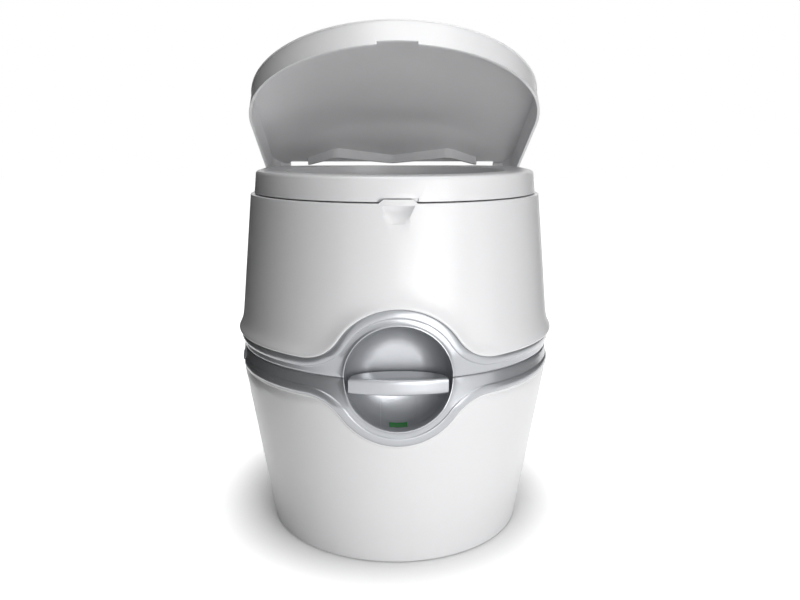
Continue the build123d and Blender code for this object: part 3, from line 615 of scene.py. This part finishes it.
handle = bmesh.new()
low_z = handle_top - handle_height
rows = []
for across, up in reversed(arc_profile(handle_edge, handle_rings)):
    rows.append([(x, y, low_z + handle_edge - up) for x, y in handle_outline(handle_edge - across)])
for share in (0.25, 0.5, 0.75):
    z = low_z + handle_edge + share * (handle_height - 2 * handle_edge)
    rows.append([(x, y, z) for x, y in handle_outline(0.0)])
for across, up in arc_profile(handle_edge, handle_rings):
    rows.append([(x, y, handle_top - handle_edge + up) for x, y in handle_outline(handle_edge - across)])
made = grid_faces(handle, rows)
handle.faces.new(made[0][::-1])
handle.faces.new(made[-1])
finish_piece("valve_handle_surface", handle, "slide_valve", "belt_plastic", ["valve_handle"], sharp=50.0)
print("handle rows:", len(rows))

# %% [markdown]
# ## Rounded edges for the rest
# The other pieces have the right shape already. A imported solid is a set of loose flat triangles, so each
# is copied and its triangles are joined. On the pieces that one sees or touches, flat groups also become
# single faces and the crisp edges get a small round, so that they catch the light as real mouldings do.


# %% Copy the other solids as smooth pieces
flat_angle = 0.4
crisp_angle = 40.0
edge_steps = 3


def crisp_edges(mesh, angle):
    """Edges where two faces meet outwards at more than an angle."""
    found = []
    for edge in mesh.edges:
        if len(edge.link_faces) == 2 and edge.is_convex and edge.calc_face_angle(0.0) > radians(angle):
            found.append(edge)
    return found


def smooth_copy(node, slot, body, edge_round=0.0, sharp=28.0):
    """A merged, smooth-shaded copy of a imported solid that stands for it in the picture."""
    mesh = merged_copy(node)
    if edge_round:
        bmesh.ops.dissolve_limit(mesh, angle_limit=radians(flat_angle), verts=mesh.verts, edges=mesh.edges)
        bmesh.ops.bevel(mesh, geom=crisp_edges(mesh, crisp_angle), offset=edge_round * MM,
                        segments=edge_steps, profile=0.5, affect="EDGES", clamp_overlap=True)
        bmesh.ops.triangulate(mesh, faces=[face for face in mesh.faces if len(face.verts) > 4])
        sharp = crisp_angle
    finish_piece(node + "_surface", mesh, body, slot, [node], sharp)


slot_of_node = {row["node"]: row["material_slot"] for row in frame["record"]["subparts"]}
body_of_node = {n: b for b, members in frame["record"]["behaviour"]["bodies"].items() for n in members}
own_form = {"flush_tank_shell", "waste_tank_tub", "upper_belt_trim", "lower_belt_trim", "valve_handle"}
edge_rounds = {"lid": 0.8, "seat_ring": 1.2, "pump_knob": 0.8, "filler_cap": 0.5, "spout_cap": 0.5,
               "side_latch": 0.5, "hinge_brackets": 0.6, "vent_button": 0.4, "rubber_feet": 0.8,
               "seat_buffers": 0.5, "pump_body": 0.5, "filler_neck": 0.3}
for node in sorted(set(nodes) - own_form):
    smooth_copy(node, slot_of_node[node], body_of_node[node], edge_rounds.get(node, 0.0))
print("copied:", len(nodes) - len(own_form))

# %% [markdown]
# ## Floor, backdrop and light
# The photograph has a white ground with a soft shadow under the base. The floor adds light of its own to
# the camera and to reflections, more with distance from the foot's outline, and still takes the object's
# shadow. The key lamp stands in front and to the right, which leaves the left flank in a grey gradient. A
# low lamp lights the lid from below, and the large top lamp makes the dark ring under the body's overhang.


# %% Make the floor and the world
def seen_ray(tree):
    """1 for rays from the camera and for reflected or transmitted ones, otherwise 0."""
    path = tree.nodes.new("ShaderNodeLightPath")
    seen = arithmetic(tree, "MAXIMUM", path.outputs["Is Camera Ray"], path.outputs["Is Glossy Ray"])
    return arithmetic(tree, "MAXIMUM", seen, path.outputs["Is Transmission Ray"])


floor_reach = 8.0
foot_half_width = 0.155
foot_half_depth = 0.19
near_glow = 0.12
shadow_end = 1.7
floor_mesh = bpy.data.meshes.new("floor")
corners = [(-floor_reach, -floor_reach, 0), (floor_reach, -floor_reach, 0), (floor_reach, floor_reach, 0),
           (-floor_reach, floor_reach, 0)]
floor_mesh.from_pydata(corners, [], [(0, 1, 2, 3)])
floor = bpy.data.objects.new("floor", floor_mesh)
bpy.context.scene.collection.objects.link(floor)
floor_finish = bpy.data.materials.new("floor_white")
floor_finish.use_nodes = True
tree = floor_finish.node_tree
ground = tree.nodes["Principled BSDF"]
ground.inputs["Base Color"].default_value = (0.8, 0.8, 0.8, 1)
ground.inputs["Roughness"].default_value = 1.0
ground.inputs["Specular IOR Level"].default_value = 0.0
place = tree.nodes.new("ShaderNodeTexCoord")
distance = tree.nodes.new("ShaderNodeVectorMath")
distance.operation = "LENGTH"
spread = tree.nodes.new("ShaderNodeVectorMath")
spread.operation = "MULTIPLY"
spread.inputs[1].default_value = (1 / foot_half_width, 1 / foot_half_depth, 0.0)
tree.links.new(place.outputs["Object"], spread.inputs[0])
tree.links.new(spread.outputs["Vector"], distance.inputs[0])
# Painted light and shade: the floor's glow is weakest at the foot's outline, which paints the ground darker
# round the base. It grows to full white by shadow_end, and there it paints over the object's shadow.
ramp = tree.nodes.new("ShaderNodeMapRange")
for socket, value in (("From Min", 1.0), ("From Max", shadow_end), ("To Min", near_glow), ("To Max", 1.0)):
    ramp.inputs[socket].default_value = value
tree.links.new(distance.outputs["Value"], ramp.inputs["Value"])
ground.inputs["Emission Color"].default_value = (1, 1, 1, 1)
glow = arithmetic(tree, "MULTIPLY", ramp.outputs["Result"], seen_ray(tree))
tree.links.new(glow, ground.inputs["Emission Strength"])
floor_mesh.materials.append(floor_finish)

world = bpy.data.worlds.new("world")
bpy.context.scene.world = world
world.use_nodes = True
tree = world.node_tree
backdrop = tree.nodes["Background"]
backdrop.inputs["Color"].default_value = (1, 1, 1, 1)
world_fill = 0.16
strength = arithmetic(tree, "ADD", arithmetic(tree, "MULTIPLY", seen_ray(tree), 1.0 - world_fill), world_fill)
tree.links.new(strength, backdrop.inputs["Strength"])


# %% Place the lamps
def softbox(name, place, aim, size, power):
    """A square area lamp that points at a place."""
    data = bpy.data.lights.new(name, "AREA")
    data.shape = "SQUARE"
    data.size = size
    data.energy = power
    lamp = bpy.data.objects.new(name, data)
    lamp.location = place
    lamp.rotation_euler = (Vector(aim) - Vector(place)).to_track_quat("-Z", "Y").to_euler()
    bpy.context.scene.collection.objects.link(lamp)


object_middle = (0, 0, 0.3)
softbox("key_light", (1.0, -1.8, 0.5), object_middle, 1.1, 14.5)
softbox("low_light", (0.3, -1.35, 0.12), (0, 0, 0.4), 0.6, 6)
softbox("top_light", (0.1, -0.2, 2.4), object_middle, 1.8, 34)


# %% [markdown]
# White plastic mirrors its surroundings most at the edges of its outline, so a white room makes the flanks
# glow. A studio puts black flags there. Two dark cards that the camera doesn't see do the same.

# %% Place the flags
flag_finish = bpy.data.materials.new("flag_black")
flag_finish.use_nodes = True
flag_shader = flag_finish.node_tree.nodes["Principled BSDF"]
flag_shader.inputs["Base Color"].default_value = (0.02, 0.02, 0.02, 1)
flag_shader.inputs["Roughness"].default_value = 1.0
flag_shader.inputs["Specular IOR Level"].default_value = 0.0


def flag(name, x, front, back, top):
    """An upright dark card that blocks light and reflections from one side."""
    data = bpy.data.meshes.new(name)
    data.from_pydata([(x, front, 0), (x, back, 0), (x, back, top), (x, front, top)], [], [(0, 1, 2, 3)])
    data.materials.append(flag_finish)
    card = bpy.data.objects.new(name, data)
    bpy.context.scene.collection.objects.link(card)
    card.visible_camera = False


flag("flag_left", -0.5, -0.7, 1.2, 1.4)
flag("flag_right", 0.85, -0.35, 1.2, 1.4)
bpy.context.scene.view_settings.view_transform = "Standard"
